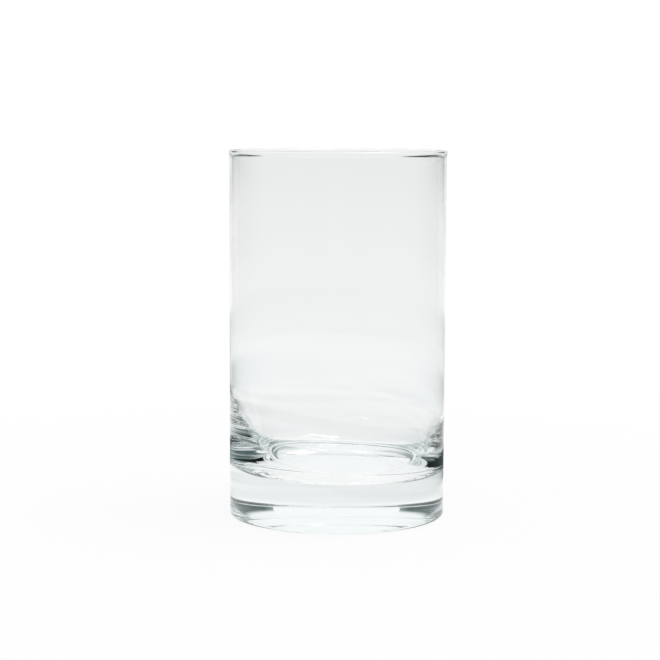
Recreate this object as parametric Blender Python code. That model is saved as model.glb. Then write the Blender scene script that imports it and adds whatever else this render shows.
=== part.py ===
"""Highball glass: one piece of clear soda-lime glass, turned about +Z.

The origin is the centre of the circle that the foot ring stands on. Units are metres.
"""

import math

import bmesh
import bpy

# Driving dimensions of the body
HEIGHT = 0.1102
BODY_DIAMETER = 0.065
WALL_THICKNESS = 0.0010
BASE_THICKNESS = 0.0132

# The rounded corner inside, where the wall runs into the floor of the cavity
CORNER_WIDTH = 0.0100
CORNER_HEIGHT = 0.0232

# The foot: an outer heel, the flat ring that stands on the table, and the hollow inside the ring
HEEL_RADIUS = 0.0008
FOOT_RING_WIDTH = 0.0028
PUSH_UP = 0.0032

# The fire-polished bead along the rim
BEAD_SWELL_OUT = 0.00042
BEAD_SWELL_IN = 0.00018
BEAD_SWELL_HEIGHT = 0.0012
BEAD_CAP_HEIGHT = 0.00075

# How finely the curves are cut
TURN_STEPS = 96
HOLLOW_STEPS = 6
HEEL_STEPS = 5
SWELL_STEPS = 4
CAP_STEPS = 8
CORNER_STEPS = 14

MERGE_DISTANCE = 0.000001
SHARP_EDGE = math.radians(30.0)

# The glass itself
GLASS_COLOUR = (0.94, 0.96, 0.96, 1.0)
GLASS_ROUGHNESS = 0.02
GLASS_IOR = 1.52

# Radii and heights that follow from the dimensions
OUTER_RADIUS = BODY_DIAMETER / 2
INNER_RADIUS = OUTER_RADIUS - WALL_THICKNESS
FLOOR_RADIUS = INNER_RADIUS - CORNER_WIDTH
FOOT_OUTER_RADIUS = OUTER_RADIUS - HEEL_RADIUS
FOOT_INNER_RADIUS = FOOT_OUTER_RADIUS - FOOT_RING_WIDTH
CORNER_TOP = BASE_THICKNESS + CORNER_HEIGHT
BEAD_CAP_FOOT = HEIGHT - BEAD_CAP_HEIGHT
BEAD_FOOT = BEAD_CAP_FOOT - BEAD_SWELL_HEIGHT


def remove_scene_objects():
    for item in list(bpy.data.objects):
        bpy.data.objects.remove(item, do_unlink=True)


def ellipse_arc(centre, semi_axes, start, end, steps):
    """Points (radius, height) along an ellipse, between two angles in degrees."""
    points = []
    for step in range(steps + 1):
        angle = math.radians(start + (end - start) * step / steps)
        radius = centre[0] + semi_axes[0] * math.cos(angle)
        height = centre[1] + semi_axes[1] * math.sin(angle)
        points.append((radius, height))
    return points


def swell(start, end, steps):
    """An S-curve that leaves one point upright and reaches the other upright."""
    points = []
    for step in range(steps + 1):
        share = step / steps
        ease = (1 - math.cos(math.pi * share)) / 2
        radius = start[0] + (end[0] - start[0]) * ease
        height = start[1] + (end[1] - start[1]) * share
        points.append((radius, height))
    return points


def underside():
    """The shallow hollow under the base, from the axis out to the foot ring."""
    points = []
    for step in range(HOLLOW_STEPS + 1):
        share = step / HOLLOW_STEPS
        points.append((FOOT_INNER_RADIUS * share, PUSH_UP * (1 - share ** 2)))
    return points


def heel():
    """The quarter round from the flat ring up to the outer wall."""
    centre = (FOOT_OUTER_RADIUS, HEEL_RADIUS)
    return ellipse_arc(centre, (HEEL_RADIUS, HEEL_RADIUS), -90, 0, HEEL_STEPS)


def bead():
    """The rim: the wall swells out, turns over a round cap and comes back to the cavity."""
    outer = OUTER_RADIUS + BEAD_SWELL_OUT
    inner = INNER_RADIUS - BEAD_SWELL_IN
    centre = ((outer + inner) / 2, BEAD_CAP_FOOT)
    half_width = (outer - inner) / 2
    rise = swell((OUTER_RADIUS, BEAD_FOOT), (outer, BEAD_CAP_FOOT), SWELL_STEPS)
    cap = ellipse_arc(centre, (half_width, BEAD_CAP_HEIGHT), 0, 180, CAP_STEPS)
    fall = swell((inner, BEAD_CAP_FOOT), (INNER_RADIUS, BEAD_FOOT), SWELL_STEPS)
    return rise + cap[1:-1] + fall


def cavity_corner():
    """The tall rounded corner from the inner wall down to the cavity's floor."""
    centre = (FLOOR_RADIUS, CORNER_TOP)
    return ellipse_arc(centre, (CORNER_WIDTH, CORNER_HEIGHT), 0, -90, CORNER_STEPS)


def half_section():
    """The glass cut through its axis: up the outside, over the rim and down the inside."""
    floor_centre = [(0.0, BASE_THICKNESS)]
    return underside() + heel() + bead() + cavity_corner() + floor_centre


def turned_mesh(name, section):
    """One closed body: the half section carried once round the Z axis."""
    shape = bmesh.new()
    corners = [shape.verts.new((radius, 0.0, height)) for radius, height in section]
    edges = [shape.edges.new(pair) for pair in zip(corners, corners[1:])]
    bmesh.ops.spin(
        shape,
        geom=corners + edges,
        cent=(0.0, 0.0, 0.0),
        axis=(0.0, 0.0, 1.0),
        angle=2 * math.pi,
        steps=TURN_STEPS,
        use_merge=True,
    )
    bmesh.ops.remove_doubles(shape, verts=shape.verts, dist=MERGE_DISTANCE)
    bmesh.ops.recalc_face_normals(shape, faces=shape.faces)
    mesh = bpy.data.meshes.new(name)
    shape.to_mesh(mesh)
    shape.free()
    mesh.shade_smooth()
    mesh.set_sharp_from_angle(angle=SHARP_EDGE)
    return mesh


def clear_glass():
    """Colourless soda-lime glass with a fire-polished surface."""
    material = bpy.data.materials.new("clear_glass")
    material.use_nodes = True
    shader = material.node_tree.nodes["Principled BSDF"]
    shader.inputs["Base Color"].default_value = GLASS_COLOUR
    shader.inputs["Metallic"].default_value = 0.0
    shader.inputs["Roughness"].default_value = GLASS_ROUGHNESS
    shader.inputs["IOR"].default_value = GLASS_IOR
    shader.inputs["Transmission Weight"].default_value = 1.0
    return material


def make_tumbler():
    mesh = turned_mesh("tumbler", half_section())
    mesh.materials.append(clear_glass())
    tumbler = bpy.data.objects.new("tumbler", mesh)
    bpy.context.scene.collection.objects.link(tumbler)
    return tumbler


remove_scene_objects()
make_tumbler()
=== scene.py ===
"""Looks of the highball glass: clear soda-lime glass on a white table, under soft studio light."""

import math

import bmesh
import bpy
from mathutils import Matrix, Vector


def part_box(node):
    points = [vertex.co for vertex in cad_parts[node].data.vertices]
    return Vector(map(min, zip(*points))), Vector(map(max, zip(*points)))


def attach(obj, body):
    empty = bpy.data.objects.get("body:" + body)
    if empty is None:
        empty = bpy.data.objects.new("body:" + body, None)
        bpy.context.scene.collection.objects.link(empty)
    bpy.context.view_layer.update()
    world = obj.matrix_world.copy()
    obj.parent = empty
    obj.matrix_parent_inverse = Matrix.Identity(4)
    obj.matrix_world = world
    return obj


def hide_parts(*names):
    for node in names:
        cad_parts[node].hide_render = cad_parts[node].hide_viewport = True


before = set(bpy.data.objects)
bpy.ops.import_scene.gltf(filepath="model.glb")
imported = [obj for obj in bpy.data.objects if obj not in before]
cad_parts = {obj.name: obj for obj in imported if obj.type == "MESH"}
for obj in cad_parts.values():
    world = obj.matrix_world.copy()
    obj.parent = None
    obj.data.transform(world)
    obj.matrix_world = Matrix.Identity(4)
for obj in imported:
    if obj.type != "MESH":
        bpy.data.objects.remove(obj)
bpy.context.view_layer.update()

# The glass, in metres. Its height and width come from the solid's box, whose bead reaches past the body
TUMBLER_LOW, TUMBLER_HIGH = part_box("tumbler")
SOLID_BEAD_REACH = 0.00042
WALL_THICKNESS = 0.0010
BASE_THICKNESS = 0.0132

# The rounded corner inside, where the wall runs into the floor of the cavity
CORNER_WIDTH = 0.0100
CORNER_HEIGHT = 0.0232

# The foot: an outer heel, the flat ring that stands on the table, and the hollow inside the ring
HEEL_RADIUS = 0.0008
FOOT_RING_WIDTH = 0.0028
PUSH_UP = 0.0032

# The fire-polished bead along the rim
BEAD_SWELL_OUT = 0.00031
BEAD_SWELL_IN = 0.00017
BEAD_SWELL_HEIGHT = 0.00125
BEAD_CAP_HEIGHT = 0.00075

# Radii and heights that follow from these
HEIGHT = TUMBLER_HIGH[2]
OUTER_RADIUS = (TUMBLER_HIGH[0] - TUMBLER_LOW[0]) / 2 - SOLID_BEAD_REACH
INNER_RADIUS = OUTER_RADIUS - WALL_THICKNESS
FLOOR_RADIUS = INNER_RADIUS - CORNER_WIDTH
FOOT_OUTER_RADIUS = OUTER_RADIUS - HEEL_RADIUS
FOOT_INNER_RADIUS = FOOT_OUTER_RADIUS - FOOT_RING_WIDTH
CORNER_TOP = BASE_THICKNESS + CORNER_HEIGHT
BEAD_CAP_FOOT = HEIGHT - BEAD_CAP_HEIGHT
BEAD_FOOT = BEAD_CAP_FOOT - BEAD_SWELL_HEIGHT

# Blown glass settles unevenly: towards -X the inner corner is wider and taller by these shares, and towards
# +X that much smaller, while the floor tilts and the cavity stands off centre by these lengths
CORNER_WIDTH_LEAN = 0.16
CORNER_HEIGHT_LEAN = 0.20
FLOOR_LEAN = 0.0004
CAVITY_SHIFT = 0.0002

# How finely the curves are cut
TURN_STEPS = 288
HOLLOW_STEPS = 20
HEEL_STEPS = 12
SWELL_STEPS = 14
CAP_STEPS = 40
CORNER_STEPS = 72
MERGE_DISTANCE = 0.000001
SHARP_EDGE = math.radians(40.0)

# Clear soda-lime glass, with the slow ripple that blowing leaves on its surface
GLASS_COLOUR = "#fdfefe"
GLASS_IOR = 1.52
TINT_COLOUR = "#daeded"
TINT_DENSITY = 3.2
RIPPLE_WIDTH = 0.018
RIPPLE_DEPTH = 0.00002

# The camera, as it stood to the glass in the photograph
CAMERA_DISTANCE = 0.5588
CAMERA_HEIGHT = 0.1188
CAMERA_PITCH = math.radians(6.42)
CAMERA_YAW = math.radians(-0.226)
CAMERA_ROLL = math.radians(0.24)
CAMERA_LENS = 101.37
SENSOR_WIDTH = 36.0

# The lamp above the table
LAMP_PLACE = (0.30, 0.0, 1.0)
LAMP_TARGET = (0.0, 0.0, 0.05)
LAMP_WIDTH = 0.45
LAMP_POWER = 3.0

# The studio is white to the eye. What follows is the light and shade painted on the studio as the glass
# shows it, where light that passes straight through meets one set of painted tones, and light that the
# glass reflects may meet another
WHITE = "#ffffff"

# The table top, a hair below the foot ring. In the glass its tones are painted: by metres from the axis,
# painted light under the foot and painted shade round it that fades outwards to a slightly darker edge, and
# for reflected light, by metres from a point beside the axis, a dark painted shadow ring round the foot and
# a grey painted shade band further out. Near the glass the eye sees some of the card's own real shadow
TABLE_RADIUS = 0.80
TABLE_DROP = 0.00005
TABLE_SIDES = 96
TABLE_PAINTED_LIGHT_AND_SHADE = (
    (0.0, "#ffffff"), (0.036, "#ffffff"), (0.042, "#f2f2f2"), (0.08, "#f4f4f4"), (0.25, "#fbfbfb"),
    (0.50, "#fcfcfc"), (0.80, "#f6f6f6"),
)
TABLE_REFLECTED_PAINTED_SHADOW = (
    (0.0, "#ffffff"), (0.075, "#ffffff"), (0.088, "#6a7878"), (0.125, "#6a7878"), (0.142, "#ffffff"),
    (0.20, "#ffffff"), (0.27, "#c6cccc"), (0.50, "#c6cccc"), (0.62, "#ffffff"),
)
PAINTED_SHADOW_CENTRE = (-0.02, 0.0, 0.0)
CARD_COLOUR = "#f2f2f2"
SHADOW_NEAR = 0.08
SHADOW_FAR = 0.30
SHADOW_WHITENESS = 0.90

# The paper backdrop behind the table. In the glass its tones are painted: painted shade that darkens it by
# metres up, and a painted lit arch, as if the lamp reached it. The arch fades from this share of its reach,
# and outside it painted shade darkens the paper between two heights
BACKDROP_DISTANCE = 0.65
BACKDROP_WIDTH = 0.54
BACKDROP_HEIGHT = 0.50
BACKDROP_PAINTED_SHADE_BY_HEIGHT = ((0.0, "#f6f6f6"), (0.06, "#f4f4f4"), (0.12, "#f0f0f0"), (0.50, "#f0f0f0"))
ARCH_CENTRE = (-0.03, 0.0, 0.10)
ARCH_HALF_WIDTH = 0.21
ARCH_RISE = 0.32
ARCH_EDGE = 0.90
SHADE_FROM = 0.16
SHADE_FULL = 0.26
PAINTED_SHADE_COLOUR = "#1c2626"

# The walls, by degrees to each side from straight behind the glass, with a dark cloth beside the backdrop.
# A heading is a share of a full turn
FULL_TURN = 360.0
BEHIND = 0.75
WALL_COLOURS = (
    (90, "#bac3c3"), (76, "#8a9898"), (62, "#3a4e4e"), (40, "#3a4e4e"), (30, "#3e5353"), (25, "#7d8f8f"),
    (22, "#f0f0f0"),
)

# Heights in the room, as shares of straight up. A pale haze lies along the horizon, thinner in reflections.
# The cloths end at a top that rises with each degree to the side, and above them is the ceiling
HORIZON_COLOUR = "#f1f1f1"
CEILING_COLOUR = "#fcfcfc"
HAZE_STRAIGHT = 0.09
HAZE_REFLECTED = 0.03
HAZE_REFLECTIONS = 2.0
CLOTH_LOW = 0.02
CLOTH_SLOPE = 0.0075
CLOTH_HIGH = 0.60
CLOTH_EDGE = 0.15

# Light turns many times inside the thick base before it leaves
LIGHT_BOUNCES = 16


def linear(hex_colour):
    """An sRGB hex colour as linear red, green, blue and alpha."""
    channels = []
    for start in (1, 3, 5):
        value = int(hex_colour[start:start + 2], 16) / 255
        value = value / 12.92 if value <= 0.04045 else ((value + 0.055) / 1.055) ** 2.4
        channels.append(value)
    return (*channels, 1.0)


def add_node(tree, kind, settings=None, inputs=None, stops=()):
    """A node with its settings, its inputs as plain values or as links, and the stops of a colour ramp."""
    node = tree.nodes.new(kind)
    for name, value in (settings or {}).items():
        setattr(node, name, value)
    for name, value in (inputs or {}).items():
        if isinstance(value, bpy.types.NodeSocket):
            tree.links.new(value, node.inputs[name])
        else:
            node.inputs[name].default_value = value
    if stops:
        set_stops(node.color_ramp, stops)
    return node


def set_stops(ramp, stops):
    """Gives a colour ramp its stops, each a position and a colour, with an ease from one to the next."""
    ramp.interpolation = "EASE"
    while len(ramp.elements) < len(stops):
        ramp.elements.new(0.5)
    for element, (position, colour) in zip(ramp.elements, stops):
        element.position = position
        element.color = linear(colour)


def ellipse_arc(centre, semi_axes, start, end, steps):
    """Points (radius, height) along an ellipse, between two angles in degrees."""
    points = []
    for step in range(steps + 1):
        angle = math.radians(start + (end - start) * step / steps)
        radius = centre[0] + semi_axes[0] * math.cos(angle)
        height = centre[1] + semi_axes[1] * math.sin(angle)
        points.append((radius, height))
    return points


def swell(start, end, steps):
    """An S-curve that leaves one point upright and reaches the other upright."""
    points = []
    for step in range(steps + 1):
        share = step / steps
        ease = (1 - math.cos(math.pi * share)) / 2
        radius = start[0] + (end[0] - start[0]) * ease
        height = start[1] + (end[1] - start[1]) * share
        points.append((radius, height))
    return points


def outside_section():
    """From the axis under the base, over the foot ring and heel, up the wall to the bead's widest."""
    hollow = []
    for step in range(HOLLOW_STEPS + 1):
        share = step / HOLLOW_STEPS
        hollow.append((FOOT_INNER_RADIUS * share, PUSH_UP * (1 - share ** 2)))
    heel = ellipse_arc((FOOT_OUTER_RADIUS, HEEL_RADIUS), (HEEL_RADIUS, HEEL_RADIUS), -90, 0, HEEL_STEPS)
    bead_widest = (OUTER_RADIUS + BEAD_SWELL_OUT, BEAD_CAP_FOOT)
    bead_rise = swell((OUTER_RADIUS, BEAD_FOOT), bead_widest, SWELL_STEPS)
    return hollow + heel + bead_rise


def bead_cap():
    """The round top of the bead, without its two ends."""
    outer = OUTER_RADIUS + BEAD_SWELL_OUT
    inner = INNER_RADIUS - BEAD_SWELL_IN
    centre = ((outer + inner) / 2, BEAD_CAP_FOOT)
    return ellipse_arc(centre, ((outer - inner) / 2, BEAD_CAP_HEIGHT), 0, 180, CAP_STEPS)[1:-1]


def inside_section():
    """From the bead down the inner wall, round the tall corner and across the floor to the axis."""
    bead_narrowest = (INNER_RADIUS - BEAD_SWELL_IN, BEAD_CAP_FOOT)
    bead_fall = swell(bead_narrowest, (INNER_RADIUS, BEAD_FOOT), SWELL_STEPS)
    corner = ellipse_arc((FLOOR_RADIUS, CORNER_TOP), (CORNER_WIDTH, CORNER_HEIGHT), 0, -90, CORNER_STEPS)
    return bead_fall + corner + [(0.0, BASE_THICKNESS)]


def face_number(face, vertex_count):
    """A number of its own for each face, from its three lowest vertices."""
    first, second, third = sorted(vert.index for vert in face.verts)[:3]
    return (first * vertex_count + second) * vertex_count + third


def make_glass():
    """The whole glass as one turned body, with the uneven settling of its cavity."""
    shape = bmesh.new()
    section = outside_section() + bead_cap() + inside_section()
    points = [shape.verts.new((radius, 0.0, height)) for radius, height in section]
    edges = [shape.edges.new(pair) for pair in zip(points, points[1:])]
    bmesh.ops.spin(
        shape,
        geom=points + edges,
        cent=(0.0, 0.0, 0.0),
        axis=(0.0, 0.0, 1.0),
        angle=2 * math.pi,
        steps=TURN_STEPS,
        use_merge=True,
    )
    bmesh.ops.remove_doubles(shape, verts=shape.verts, dist=MERGE_DISTANCE)
    bmesh.ops.recalc_face_normals(shape, faces=shape.faces)
    # A spin makes its faces in another order on each run, so they are sorted to give the same mesh
    shape.verts.index_update()
    vertex_count = len(shape.verts)
    shape.faces.sort(key=lambda face: face_number(face, vertex_count))
    settle_cavity(shape)
    mesh = bpy.data.meshes.new("tumbler_glass")
    shape.to_mesh(mesh)
    shape.free()
    mesh.shade_smooth()
    mesh.set_sharp_from_angle(angle=SHARP_EDGE)
    glass = bpy.data.objects.new("tumbler_glass", mesh)
    bpy.context.scene.collection.objects.link(glass)
    return glass


def settle_cavity(shape):
    """Makes the inner corner larger towards -X, tilts the floor, and shifts the cavity below the bead."""
    for vert in shape.verts:
        radius = math.hypot(vert.co.x, vert.co.y)
        inside = radius < INNER_RADIUS + MERGE_DISTANCE and vert.co.z > BASE_THICKNESS - MERGE_DISTANCE
        if not inside or vert.co.z > BEAD_FOOT + MERGE_DISTANCE:
            continue
        turn = math.atan2(vert.co.y, vert.co.x)
        widening = 1 - CORNER_WIDTH_LEAN * math.cos(turn)
        heightening = 1 - CORNER_HEIGHT_LEAN * math.cos(turn)
        depth = max(0.0, (CORNER_TOP - vert.co.z) / CORNER_HEIGHT)
        if vert.co.z < CORNER_TOP + MERGE_DISTANCE and radius > MERGE_DISTANCE:
            inset = INNER_RADIUS - radius
            scale = (INNER_RADIUS - inset * widening) / radius
            vert.co.x *= scale
            vert.co.y *= scale
            vert.co.z = BASE_THICKNESS + (vert.co.z - BASE_THICKNESS) * heightening
        vert.co.z -= FLOOR_LEAN * depth * vert.co.x / INNER_RADIUS
        fade = min(1.0, (BEAD_FOOT - vert.co.z) / (BEAD_FOOT - CORNER_TOP))
        vert.co.x += CAVITY_SHIFT * fade


def clear_glass():
    """Soda-lime glass, blown and fire-polished: clear and smooth, faintly green where it is thick."""
    material = bpy.data.materials.new("fire_polished_soda_lime_glass")
    material.use_nodes = True
    tree = material.node_tree
    tree.nodes.clear()
    place = add_node(tree, "ShaderNodeTexCoord")
    ripple = add_node(
        tree, "ShaderNodeTexNoise",
        inputs={"Vector": place.outputs["Object"], "Scale": 1 / RIPPLE_WIDTH, "Detail": 1.0},
    )
    polish = add_node(
        tree, "ShaderNodeBump",
        inputs={"Height": ripple.outputs["Fac"], "Strength": 1.0, "Distance": RIPPLE_DEPTH},
    )
    surface = add_node(
        tree, "ShaderNodeBsdfPrincipled",
        inputs={
            "Base Color": linear(GLASS_COLOUR),
            "Roughness": 0.0,
            "IOR": GLASS_IOR,
            "Transmission Weight": 1.0,
            "Normal": polish.outputs["Normal"],
        },
    )
    tint = add_node(
        tree, "ShaderNodeVolumeAbsorption",
        inputs={"Color": linear(TINT_COLOUR), "Density": TINT_DENSITY},
    )
    add_node(
        tree, "ShaderNodeOutputMaterial",
        inputs={"Surface": surface.outputs["BSDF"], "Volume": tint.outputs["Volume"]},
    )
    return material


def tone_along(tree, metres, span, colours):
    """The tone at a place so many metres along a span, from colours given by metres."""
    share = add_node(tree, "ShaderNodeMath", {"operation": "DIVIDE"}, {0: metres, 1: span})
    stops = [(place / span, colour) for place, colour in colours]
    tone = add_node(tree, "ShaderNodeValToRGB", inputs={"Fac": share.outputs["Value"]}, stops=stops)
    return tone.outputs["Color"]


def shown_colour(tree, path, straight, reflected):
    """White to the eye; one colour straight through the glass, and another where the glass reflects it."""
    in_glass = add_node(
        tree, "ShaderNodeMix", {"data_type": "RGBA"},
        {"Factor": path.outputs["Glossy Depth"], "A": straight, "B": reflected},
    )
    shown = add_node(
        tree, "ShaderNodeMix", {"data_type": "RGBA"},
        {"Factor": path.outputs["Is Camera Ray"], "A": in_glass.outputs["Result"], "B": linear(WHITE)},
    )
    return shown.outputs["Result"]


def painted_glow_share(tree, path, distance):
    """How much of the table glows: all of it in the glass, where the glow carries painted light and shade,
    and less of it to the eye near the foot, where it is plain white.
    """
    plain = add_node(
        tree, "ShaderNodeMapRange", {"interpolation_type": "SMOOTHSTEP"},
        {"Value": distance, "From Min": SHADOW_NEAR, "From Max": SHADOW_FAR, "To Min": SHADOW_WHITENESS},
    )
    to_eye = add_node(
        tree, "ShaderNodeMath", {"operation": "MULTIPLY"},
        {0: path.outputs["Is Camera Ray"], 1: plain.outputs["Result"]},
    )
    to_glass = add_node(
        tree, "ShaderNodeMath", {"operation": "ADD"},
        {0: path.outputs["Is Glossy Ray"], 1: path.outputs["Is Transmission Ray"]},
    )
    share = add_node(
        tree, "ShaderNodeMath", {"operation": "ADD", "use_clamp": True},
        {0: to_eye.outputs["Value"], 1: to_glass.outputs["Value"]},
    )
    return share.outputs["Value"]


def white_table():
    """Matt white card: white to the eye, with a faint real shadow; in the glass it glows with painted light
    under the foot and painted shade round it.
    """
    material = bpy.data.materials.new("matt_white_card")
    material.use_nodes = True
    tree = material.node_tree
    tree.nodes.clear()
    path = add_node(tree, "ShaderNodeLightPath")
    place = add_node(tree, "ShaderNodeTexCoord")
    distance = add_node(tree, "ShaderNodeVectorMath", {"operation": "LENGTH"}, {0: place.outputs["Object"]})
    from_shade = add_node(
        tree, "ShaderNodeVectorMath", {"operation": "DISTANCE"},
        {0: place.outputs["Object"], 1: PAINTED_SHADOW_CENTRE},
    )
    # In the glass: painted light under the foot and painted shade round it, and for reflected light a
    # painted shadow ring round a point beside the axis
    straight = tone_along(tree, distance.outputs["Value"], TABLE_RADIUS, TABLE_PAINTED_LIGHT_AND_SHADE)
    reflected = tone_along(tree, from_shade.outputs["Value"], TABLE_RADIUS, TABLE_REFLECTED_PAINTED_SHADOW)
    shown = shown_colour(tree, path, straight, reflected)
    card = add_node(tree, "ShaderNodeBsdfDiffuse", inputs={"Color": linear(CARD_COLOUR)})
    # The glow is plain white to the eye and carries the painted light and shade into the glass
    white = add_node(tree, "ShaderNodeEmission", inputs={"Color": shown, "Strength": 1.0})
    share = painted_glow_share(tree, path, distance.outputs["Value"])
    blend = add_node(
        tree, "ShaderNodeMixShader",
        inputs={0: share, 1: card.outputs["BSDF"], 2: white.outputs["Emission"]},
    )
    add_node(tree, "ShaderNodeOutputMaterial", inputs={"Surface": blend.outputs["Shader"]})
    return material


def make_table():
    """The round table top that the glass stands on."""
    shape = bmesh.new()
    bmesh.ops.create_circle(shape, cap_ends=True, segments=TABLE_SIDES, radius=TABLE_RADIUS)
    bmesh.ops.translate(shape, verts=shape.verts, vec=(0.0, 0.0, -TABLE_DROP))
    mesh = bpy.data.meshes.new("table_top")
    shape.to_mesh(mesh)
    shape.free()
    mesh.materials.append(white_table())
    table = bpy.data.objects.new("table_top", mesh)
    bpy.context.scene.collection.objects.link(table)


def outside_arch(tree, place, height):
    """How far a place on the backdrop lies in the painted shade, high up and outside the painted lit arch.
    """
    from_centre = add_node(
        tree, "ShaderNodeVectorMath", {"operation": "SUBTRACT"}, {0: place, 1: ARCH_CENTRE},
    )
    across = add_node(
        tree, "ShaderNodeVectorMath", {"operation": "MULTIPLY"},
        {0: from_centre.outputs["Vector"], 1: (1 / ARCH_HALF_WIDTH, 0.0, 1 / ARCH_RISE)},
    )
    reach = add_node(tree, "ShaderNodeVectorMath", {"operation": "LENGTH"}, {0: across.outputs["Vector"]})
    unlit = add_node(
        tree, "ShaderNodeMapRange", {"interpolation_type": "SMOOTHSTEP"},
        {"Value": reach.outputs["Value"], "From Min": ARCH_EDGE, "From Max": 1.0},
    )
    high = add_node(
        tree, "ShaderNodeMapRange", {"interpolation_type": "SMOOTHSTEP"},
        {"Value": height, "From Min": SHADE_FROM, "From Max": SHADE_FULL},
    )
    shade = add_node(
        tree, "ShaderNodeMath", {"operation": "MULTIPLY"},
        {0: unlit.outputs["Result"], 1: high.outputs["Result"]},
    )
    return shade.outputs["Value"]


def backdrop_paper():
    """Matt white paper: white to the eye; in the glass a painted lit arch, with painted dark shade in the
    upper corners beside it.
    """
    material = bpy.data.materials.new("matt_white_paper")
    material.use_nodes = True
    tree = material.node_tree
    tree.nodes.clear()
    path = add_node(tree, "ShaderNodeLightPath")
    place = add_node(tree, "ShaderNodeTexCoord")
    on_paper = add_node(tree, "ShaderNodeSeparateXYZ", inputs={"Vector": place.outputs["Object"]})
    # In the glass: painted shade that darkens the paper by height, and painted dark corners outside a
    # painted lit arch
    lit = tone_along(tree, on_paper.outputs["Z"], BACKDROP_HEIGHT, BACKDROP_PAINTED_SHADE_BY_HEIGHT)
    shade = outside_arch(tree, place.outputs["Object"], on_paper.outputs["Z"])
    shaded = add_node(
        tree, "ShaderNodeMix", {"data_type": "RGBA"},
        {"Factor": shade, "A": lit, "B": linear(PAINTED_SHADE_COLOUR)},
    )
    shown = shown_colour(tree, path, shaded.outputs["Result"], linear(WHITE))
    # The glow is plain white to the eye and carries the painted light and shade into the glass
    white = add_node(tree, "ShaderNodeEmission", inputs={"Color": shown, "Strength": 1.0})
    add_node(tree, "ShaderNodeOutputMaterial", inputs={"Surface": white.outputs["Emission"]})
    return material


def make_backdrop():
    """The sheet of paper that stands behind the table."""
    shape = bmesh.new()
    bmesh.ops.create_grid(shape, x_segments=1, y_segments=1, size=0.5)
    bmesh.ops.scale(shape, verts=shape.verts, vec=(BACKDROP_WIDTH, BACKDROP_HEIGHT, 1.0))
    bmesh.ops.rotate(shape, verts=shape.verts, matrix=Matrix.Rotation(math.pi / 2, 3, "X"))
    bmesh.ops.translate(shape, verts=shape.verts, vec=(0.0, 0.0, BACKDROP_HEIGHT / 2))
    mesh = bpy.data.meshes.new("paper_backdrop")
    shape.to_mesh(mesh)
    shape.free()
    mesh.materials.append(backdrop_paper())
    backdrop = bpy.data.objects.new("paper_backdrop", mesh)
    backdrop.location = (0.0, BACKDROP_DISTANCE, 0.0)
    bpy.context.scene.collection.objects.link(backdrop)


def walls_and_haze(tree, path, heading, height):
    """The walls by their heading, the same on both sides, with a pale haze along the horizon."""
    stops = [(BEHIND - degrees / FULL_TURN, colour) for degrees, colour in WALL_COLOURS]
    stops += [(BEHIND + degrees / FULL_TURN, colour) for degrees, colour in reversed(WALL_COLOURS)]
    walls = add_node(tree, "ShaderNodeValToRGB", inputs={"Fac": heading}, stops=stops)
    haze = add_node(
        tree, "ShaderNodeMapRange",
        inputs={
            "Value": path.outputs["Glossy Depth"],
            "From Max": HAZE_REFLECTIONS,
            "To Min": HAZE_STRAIGHT,
            "To Max": HAZE_REFLECTED,
        },
    )
    above = add_node(
        tree, "ShaderNodeMapRange", {"interpolation_type": "SMOOTHSTEP"},
        {"Value": height, "From Min": 0.0, "From Max": haze.outputs["Result"]},
    )
    around = add_node(
        tree, "ShaderNodeMix", {"data_type": "RGBA"},
        {"Factor": above.outputs["Result"], "A": linear(HORIZON_COLOUR), "B": walls.outputs["Color"]},
    )
    return around.outputs["Result"]


def ceiling_share(tree, path, heading, height):
    """How much of the ceiling shows above the cloths, which reach highest for light reflected twice."""
    aside = add_node(tree, "ShaderNodeMath", {"operation": "SUBTRACT"}, {0: heading, 1: BEHIND})
    to_side = add_node(tree, "ShaderNodeMath", {"operation": "ABSOLUTE"}, {0: aside.outputs["Value"]})
    slanted = add_node(
        tree, "ShaderNodeMath", {"operation": "MULTIPLY_ADD"},
        {0: to_side.outputs["Value"], 1: CLOTH_SLOPE * FULL_TURN, 2: CLOTH_LOW},
    )
    again = add_node(
        tree, "ShaderNodeMath", {"operation": "SUBTRACT", "use_clamp": True},
        {0: path.outputs["Glossy Depth"], 1: 1.0},
    )
    raised = add_node(
        tree, "ShaderNodeMath", {"operation": "ADD"},
        {0: slanted.outputs["Value"], 1: again.outputs["Value"]},
    )
    cloth_top = add_node(
        tree, "ShaderNodeMath", {"operation": "MINIMUM"}, {0: raised.outputs["Value"], 1: CLOTH_HIGH},
    )
    clear_of_cloth = add_node(
        tree, "ShaderNodeMath", {"operation": "ADD"}, {0: cloth_top.outputs["Value"], 1: CLOTH_EDGE},
    )
    share = add_node(
        tree, "ShaderNodeMapRange", {"interpolation_type": "SMOOTHSTEP"},
        {
            "Value": height,
            "From Min": cloth_top.outputs["Value"],
            "From Max": clear_of_cloth.outputs["Value"],
        },
    )
    return share.outputs["Result"]


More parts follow.
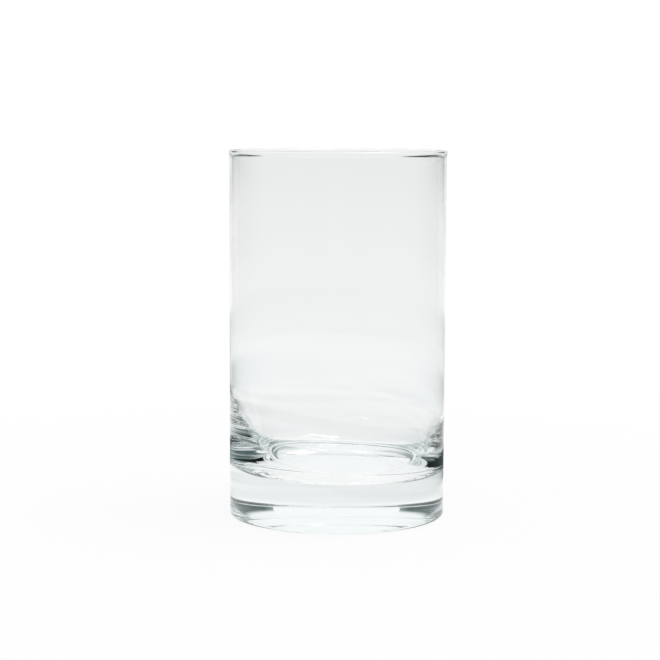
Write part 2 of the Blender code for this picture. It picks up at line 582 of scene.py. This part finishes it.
def studio_world():
    """White to the eye; in the glass, a pale room with a dark cloth on each side of the backdrop."""
    world = bpy.data.worlds.new("studio")
    bpy.context.scene.world = world
    world.use_nodes = True
    tree = world.node_tree
    tree.nodes.clear()
    path = add_node(tree, "ShaderNodeLightPath")
    place = add_node(tree, "ShaderNodeTexCoord")
    direction = place.outputs["Generated"]
    heading = add_node(tree, "ShaderNodeTexGradient", {"gradient_type": "RADIAL"}, {"Vector": direction})
    upward = add_node(tree, "ShaderNodeSeparateXYZ", inputs={"Vector": direction})
    around = walls_and_haze(tree, path, heading.outputs["Fac"], upward.outputs["Z"])
    overhead = ceiling_share(tree, path, heading.outputs["Fac"], upward.outputs["Z"])
    room = add_node(
        tree, "ShaderNodeMix", {"data_type": "RGBA"},
        {"Factor": overhead, "A": around, "B": linear(CEILING_COLOUR)},
    )
    shown = add_node(
        tree, "ShaderNodeMix", {"data_type": "RGBA"},
        {"Factor": path.outputs["Is Camera Ray"], "A": room.outputs["Result"], "B": linear(WHITE)},
    )
    light = add_node(
        tree, "ShaderNodeBackground", inputs={"Color": shown.outputs["Result"], "Strength": 1.0},
    )
    add_node(tree, "ShaderNodeOutputWorld", inputs={"Surface": light.outputs["Background"]})


def make_softbox():
    """The square soft lamp above the table, turned to the glass."""
    lamp = bpy.data.lights.new("overhead_softbox", "AREA")
    lamp.shape = "SQUARE"
    lamp.size = LAMP_WIDTH
    lamp.energy = LAMP_POWER
    softbox = bpy.data.objects.new("overhead_softbox", lamp)
    softbox.location = LAMP_PLACE
    aim = Vector(LAMP_TARGET) - Vector(LAMP_PLACE)
    softbox.rotation_euler = aim.to_track_quat("-Z", "Y").to_euler()
    bpy.context.scene.collection.objects.link(softbox)


def make_camera():
    """The camera in front of the glass, looking slightly down."""
    lens = bpy.data.cameras.new("camera")
    lens.sensor_width = SENSOR_WIDTH
    lens.lens = CAMERA_LENS
    camera = bpy.data.objects.new("camera", lens)
    turn = (
        Matrix.Rotation(-CAMERA_YAW, 4, "Z")
        @ Matrix.Rotation(math.pi / 2 - CAMERA_PITCH, 4, "X")
        @ Matrix.Rotation(CAMERA_ROLL, 4, "Z")
    )
    camera.matrix_world = Matrix.Translation((0.0, -CAMERA_DISTANCE, CAMERA_HEIGHT)) @ turn
    bpy.context.scene.collection.objects.link(camera)
    bpy.context.scene.camera = camera


glass = make_glass()
glass.data.materials.append(clear_glass())
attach(glass, "root")
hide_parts("tumbler")

make_table()
make_backdrop()
studio_world()
make_softbox()
make_camera()
bpy.context.scene.view_settings.view_transform = "Standard"
bpy.context.scene.cycles.max_bounces = LIGHT_BOUNCES
bpy.context.scene.cycles.glossy_bounces = LIGHT_BOUNCES
bpy.context.scene.cycles.transmission_bounces = LIGHT_BOUNCES
